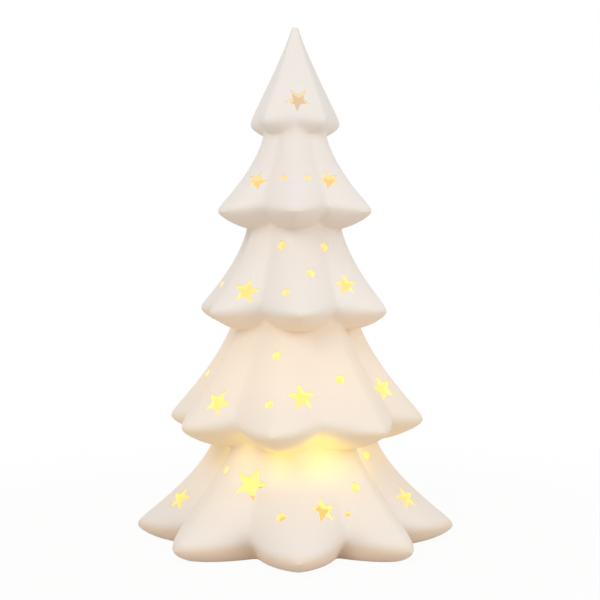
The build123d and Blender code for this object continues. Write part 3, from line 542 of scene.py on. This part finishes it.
# How far the tier's surface lies along the normal from a point of the tangent plane
def surface_lift(tier, placing, across, up):
    low, high = -cutter_inside / 2, cutter_outside
    for _ in range(lift_halvings):
        middle = (low + high) / 2
        point = placing @ Vector((across * mm, up * mm, middle * mm)) / mm
        azimuth = degrees(atan2(point.x, -point.y))
        if hypot(point.x, point.y) > tier_radius(tier, azimuth, point.z):
            high = middle
        else:
            low = middle
    return (low + high) / 2


# A punch has the outline of its hole, and every other corner of a star is drawn in
# to its waist. Of its four rings two lie close under and over the surface, and it
# widens between them, so that the edge of the hole comes out sponged round.
ring_inside, ring_under, ring_over, ring_outside = range(4)
cut_slot, sponged_slot = 0, 1


def punch(name, corners, waist, steps):
    bpy.ops.object.select_all(action="DESELECT")
    bpy.ops.mesh.primitive_circle_add(vertices=corners, radius=1, fill_type="NGON", location=(0, 0, 0))
    tool = bpy.context.object
    tool.name = name
    tool.data.materials.append(glowing_cut_porcelain)
    tool.data.materials.append(porcelain)
    for vertex in tool.data.vertices:
        corner = round((atan2(vertex.co.y, vertex.co.x) - pi / 2) / (2 * pi / corners))
        if corner % 2 == 1:
            vertex.co *= waist
    bpy.ops.object.mode_set(mode="EDIT")
    bpy.ops.mesh.select_all(action="SELECT")
    if steps > 1:
        bpy.ops.mesh.subdivide(number_cuts=steps - 1)
    for _ in range(ring_outside):
        bpy.ops.mesh.extrude_region_move(TRANSFORM_OT_translate={"value": (0, 0, 1)})
    bpy.ops.mesh.select_all(action="SELECT")
    bpy.ops.mesh.normals_make_consistent(inside=False)
    bpy.ops.object.mode_set(mode="OBJECT")
    for face in tool.data.polygons:
        face.material_index = sponged_slot if ring_under < face.center.z < ring_over else cut_slot
    return tool


star_punch = punch("star_punch", 2 * star_points, star_waist, edge_steps)
dot_punch = punch("dot_punch", dot_sides, 1.0, 1)

cutters = []
placings = [(star_punch, *star) for star in stars] + [(dot_punch, *dot, 0.0) for dot in dots]
for tool, tier_index, azimuth, share, radius, turn in placings:
    tier = tiers[tier_index]
    cutter = tool.copy()
    cutter.data = tool.data.copy()
    bpy.context.collection.objects.link(cutter)
    placing = surface_matrix(tier, azimuth, share) @ Matrix.Rotation(-radians(turn), 4, "Z")
    for vertex in cutter.data.vertices:
        ring = round(vertex.co.z)
        size = radius + (sponge_round if ring >= ring_over else 0.0)
        across, up = vertex.co.x * size, vertex.co.y * size
        if ring == ring_inside:
            lift = -cutter_inside
        elif ring == ring_outside:
            lift = cutter_outside
        else:
            lift = surface_lift(tier, placing, across, up)
            lift += sponge_round if ring == ring_over else -sponge_round
        vertex.co = placing @ Vector((across * mm, up * mm, lift * mm))
    cutters.append(cutter)
bpy.data.objects.remove(star_punch)
bpy.data.objects.remove(dot_punch)
bpy.ops.object.select_all(action="DESELECT")
for cutter in cutters:
    cutter.select_set(True)
bpy.context.view_layer.objects.active = cutters[0]
bpy.ops.object.join()
cutter = bpy.context.object

crease_angle = radians(38)
bpy.ops.object.select_all(action="DESELECT")
bpy.context.view_layer.objects.active = porcelain_tree
porcelain_tree.select_set(True)
pierce = porcelain_tree.modifiers.new("pierce", "BOOLEAN")
pierce.operation = "DIFFERENCE"
pierce.solver = "EXACT"
pierce.object = cutter
pierce.material_mode = "TRANSFER"
bpy.ops.object.modifier_apply(modifier=pierce.name)
bpy.data.objects.remove(cutter)
bpy.ops.object.shade_smooth_by_angle(angle=crease_angle)
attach(porcelain_tree, "tree")
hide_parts("ceramic_shell")

# Sealing ring. A soft ring of translucent silicone that seats the lamp housing in
# the floor of the tree and keeps it from rattling there.
weld_distance = 0.000002
flat_angle = radians(1.0)
round_angle = radians(35)
round_segments = 2


def moulded_copy(node, body, material, edge_round):
    bpy.ops.object.select_all(action="DESELECT")
    piece = nodes[node].copy()
    piece.data = nodes[node].data.copy()
    piece.name = node + "_finished"
    bpy.context.collection.objects.link(piece)
    piece.data.materials.clear()
    piece.data.materials.append(material)
    bpy.context.view_layer.objects.active = piece
    piece.select_set(True)
    bpy.ops.mesh.customdata_custom_splitnormals_clear()
    bpy.ops.object.mode_set(mode="EDIT")
    bpy.ops.mesh.select_all(action="SELECT")
    bpy.ops.mesh.remove_doubles(threshold=weld_distance)
    bpy.ops.mesh.dissolve_limited(angle_limit=flat_angle)
    bpy.ops.object.mode_set(mode="OBJECT")
    rounding = piece.modifiers.new("edge_round", "BEVEL")
    rounding.width = edge_round * mm
    rounding.segments = round_segments
    rounding.limit_method = "ANGLE"
    rounding.angle_limit = round_angle
    bpy.ops.object.modifier_apply(modifier=rounding.name)
    bpy.ops.object.shade_smooth_by_angle(angle=round_angle)
    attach(piece, body)
    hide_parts(node)


def dress(node, material):
    for place in nodes[node].material_slots:
        place.material = material


silicone = finish_material("soft_silicone", (0.78, 0.77, 0.74), grain_size=0.8, depth=0.01,
                           drift=0.05, roughness=0.42, Subsurface_Weight=0.2, Subsurface_Scale=0.002)
moulded_copy("gasket_ring", "tree", silicone, edge_round=0.25)

# Lamp housing. A tub of white moulded plastic with a wide flange, spark-textured
# below, that holds the cells, the switch and the light and closes the foot.
white_plastic = finish_material("moulded_white", (0.82, 0.81, 0.78), grain_size=0.5, depth=0.03,
                                drift=0.04, roughness=0.48)
moulded_copy("lamp_housing", "tree", white_plastic, edge_round=0.3)

# Housing cover. A plain moulded lid with a short tower, drawn down on the tub by
# four small cross-head screws of bright steel.
# The lid is painted a warm white, with the lamp's light painted on as a glow
lit_plastic = finish_material("lit_white", (0.84, 0.80, 0.70), grain_size=0.5, depth=0.02,
                              drift=0.04, roughness=0.5)
add_glow(lit_plastic, "Hollow", strength=0.35)
steel = finish_material("bright_steel", (0.66, 0.66, 0.67), grain_size=0.3, depth=0.006,
                        drift=0.10, roughness=0.28, Metallic=1.0)
moulded_copy("housing_cover", "tree", lit_plastic, edge_round=0.3)
moulded_copy("cover_screws", "tree", steel, edge_round=0.1)

# Diffuser cap. A thimble of frosted plastic, pressed over the tower, that spreads
# the light of the lamp inside it over the whole hollow of the tree.
# The light in the cap is painted on as a glow
frosted = finish_material("frosted_plastic", (0.90, 0.84, 0.70), grain_size=0.6, depth=0.02,
                          drift=0.04, roughness=0.6, Transmission_Weight=0.15)
add_glow(frosted, "Hollow", strength=1.2)
moulded_copy("diffuser_cap", "tree", frosted, edge_round=0.3)

# Circuit board. A round of green glass-fibre board with copper tracks under its
# varnish, held on two posts of the tub by small steel screws.
varnish_dark = (0.03, 0.19, 0.07)
varnish_light = (0.04, 0.22, 0.08)
varnish_over_track = (0.10, 0.36, 0.12)
track_pitch = 4.2 * mm
track_width = 0.07
track_length = 1.6
varnish = finish_material("board_varnish", varnish_dark, grain_size=0.6, depth=0.01,
                          drift=0.10, roughness=0.30, Coat_Weight=0.4)
board_place = new_node(varnish.node_tree, "ShaderNodeTexCoord").outputs["Object"]
tracks = new_node(varnish.node_tree, "ShaderNodeTexBrick",
                  {"Vector": board_place, "Color1": (*varnish_dark, 1), "Color2": (*varnish_light, 1),
                   "Mortar": (*varnish_over_track, 1), "Scale": 1 / track_pitch,
                   "Mortar Size": track_width, "Brick Width": track_length})
paint_colour(varnish, tracks.outputs["Color"])
moulded_copy("circuit_board", "tree", varnish, edge_round=0.1)
moulded_copy("board_screws", "tree", steel, edge_round=0.08)

# Lamp. A round-nosed light-emitting diode in clear warm epoxy, on two tinned legs
# that come up through the tower from the board.
epoxy = finish_material("led_epoxy", (0.95, 0.82, 0.52), grain_size=0.4, depth=0.003,
                        drift=0.03, roughness=0.12, Transmission_Weight=0.3)
add_glow(epoxy, "Hollow", strength=1.6)
tinned = finish_material("tinned_wire", (0.74, 0.73, 0.70), grain_size=0.2, depth=0.003,
                         drift=0.08, roughness=0.24, Metallic=1.0)
dress("led_lamp", epoxy)
dress("led_leads", tinned)

# Resistor. A small lacquered body with painted value bands round it, soldered to
# the board by the two tinned wires of its ends.
lacquer_beige = (0.62, 0.50, 0.34)
band_brown = (0.30, 0.13, 0.05)
band_black = (0.02, 0.02, 0.02)
band_gold = (0.55, 0.42, 0.12)
resistor_bands = [
    (0.0, lacquer_beige), (0.14, band_brown), (0.24, lacquer_beige), (0.34, band_black),
    (0.44, lacquer_beige), (0.54, band_brown), (0.64, lacquer_beige), (0.78, band_gold),
    (0.88, lacquer_beige),
]
resistor_low, resistor_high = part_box("resistor")
lacquer = finish_material("resistor_lacquer", lacquer_beige, grain_size=0.4, depth=0.006,
                          drift=0.06, roughness=0.35, Coat_Weight=0.3)


def band_by_axis(material, axis, low, high, bands):
    tree = material.node_tree
    place = new_node(tree, "ShaderNodeTexCoord").outputs["Object"]
    axes = new_node(tree, "ShaderNodeSeparateXYZ", {0: place})
    share = map_range(tree, axes.outputs[axis], low, high)
    return colour_ramp(tree, share, bands, "CONSTANT")


paint_colour(lacquer, band_by_axis(lacquer, "Y", resistor_low[1], resistor_high[1], resistor_bands))
moulded_copy("resistor", "tree", lacquer, edge_round=0.2)
dress("resistor_leads", tinned)

# Slide switch. A block of black nylon with brass pins, whose ribbed button shows
# through a slot in the underside and slides between off and on.
black_nylon = finish_material("black_nylon", (0.028, 0.028, 0.030), grain_size=0.4, depth=0.02,
                              drift=0.10, roughness=0.45)
brass = finish_material("bare_brass", (0.72, 0.52, 0.24), grain_size=0.3, depth=0.006,
                        drift=0.12, roughness=0.30, Metallic=1.0)
moulded_copy("switch_body", "tree", black_nylon, edge_round=0.15)
moulded_copy("switch_slider", "slider", black_nylon, edge_round=0.12)
dress("switch_pins", brass)

# Battery door. A flat moulded flap hinged at one end on two pins, and held shut at
# the other by a captive cross-head screw.
moulded_copy("battery_door", "door", white_plastic, edge_round=0.25)
moulded_copy("door_screw", "door", steel, edge_round=0.1)

# Cells. Two plain dry cells side by side, head to tail, each a steel can in a
# shrunk sleeve with a paler shoulder at the button end.
sleeve_dark = (0.035, 0.037, 0.042)
sleeve_pale = (0.16, 0.24, 0.36)
can_steel = (0.68, 0.68, 0.68)
metal, no_metal = (1, 1, 1), (0, 0, 0)
sleeve_start = 0.035
shoulder_start = 0.70
sleeve_end = 0.93
cell_colours = [(0.0, can_steel), (sleeve_start, sleeve_dark), (shoulder_start, sleeve_pale),
                (sleeve_end, can_steel)]
cell_metal = [(0.0, metal), (sleeve_start, no_metal), (sleeve_end, metal)]
for node, flat_end, button_end in [("battery_cell_1", 1, 0), ("battery_cell_2", 0, 1)]:
    ends = [corner[0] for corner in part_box(node)]
    sleeve = finish_material(node + "_sleeve", sleeve_dark, grain_size=0.6, depth=0.004,
                             drift=0.06, roughness=0.30, Coat_Weight=0.3)
    shader = sleeve.node_tree.nodes["Principled BSDF"]
    bare_ends = band_by_axis(sleeve, "X", ends[flat_end], ends[button_end], cell_metal)
    sleeve.node_tree.links.new(bare_ends, shader.inputs["Metallic"])
    paint_colour(sleeve, band_by_axis(sleeve, "X", ends[flat_end], ends[button_end], cell_colours))
    moulded_copy(node, "tree", sleeve, edge_round=0.3)

# Contacts. Nickel-plated strip at both ends of the battery bay: a flat plate, a bent
# leaf, and the bridge that joins the two cells.
for node in ["positive_contact", "negative_contact", "bridge_contact"]:
    moulded_copy(node, "tree", steel, edge_round=0.06)

# Wires. Three short lengths of stranded wire in coloured vinyl, soldered between
# the contacts, the switch and the board.
vinyl_colours = {"wire_red": (0.55, 0.03, 0.02), "wire_yellow": (0.74, 0.50, 0.03),
                 "wire_black": (0.03, 0.03, 0.03)}
for node, colour in vinyl_colours.items():
    vinyl = finish_material(node + "_vinyl", colour, grain_size=0.5, depth=0.006,
                            drift=0.05, roughness=0.38)
    dress(node, vinyl)
